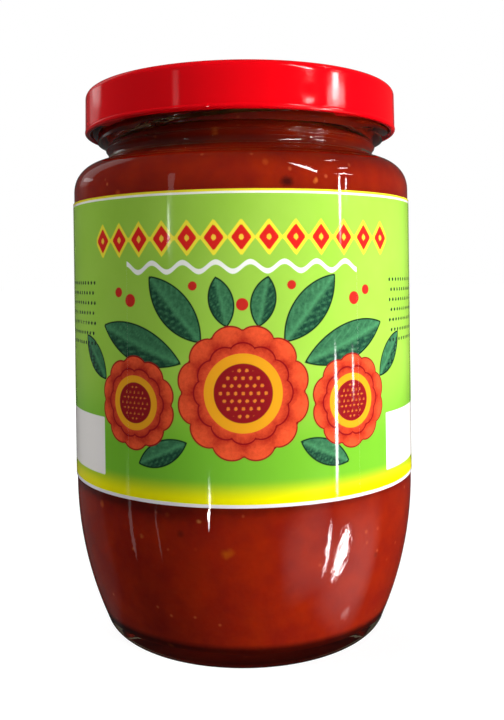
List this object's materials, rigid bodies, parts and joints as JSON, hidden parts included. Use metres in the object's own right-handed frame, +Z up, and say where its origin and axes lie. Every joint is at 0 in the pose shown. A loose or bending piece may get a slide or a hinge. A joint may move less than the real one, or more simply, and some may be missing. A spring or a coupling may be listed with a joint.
{
  "type": "glass jar of gac fruit paste",
  "caption": "Round glass food jar with a barrel-shaped lower body, filled with red gac fruit paste, a wrapped paper label and a twist-off steel lid.",
  "frame": {"origin": "centre of the ring that the jar stands on, at the table", "axes": "+Z up along the jar's axis, -Y out of the middle of the label, +X to a viewer's right"},
  "size_m": [0.0778, 0.0776, 0.121],
  "materials": {
    "clear_glass": "clear, glossy",
    "fruit_paste": "wet, smooth paste with seeds and flecks",
    "label_paper": "glossy printed paper",
    "lacquered_steel": "glossy red lacquer",
    "sealing_compound": "soft, matte"
  },
  "bodies": {
    "jar": {"glass_jar": "clear_glass", "gac_paste": "fruit_paste", "label": "label_paper"},
    "seal": {"lid_liner": "sealing_compound"},
    "lid": {"lid_shell": "lacquered_steel"}
  },
  "joints": [
    {"name": "lid_rise", "type": "slide", "parent": "jar", "child": "seal", "axis": [0, 0, 1], "range_m": [0, 0.00245]},
    {"name": "lid_turn", "type": "hinge", "parent": "seal", "child": "lid", "pos_m": [0, 0, 0.111], "axis": [0, 0, 1], "range_deg": [0, 60]}
  ],
  "couplings": [
    {"joint": "lid_rise", "follows": "lid_turn", "m_per_rad": 0.0023316}
  ]
}
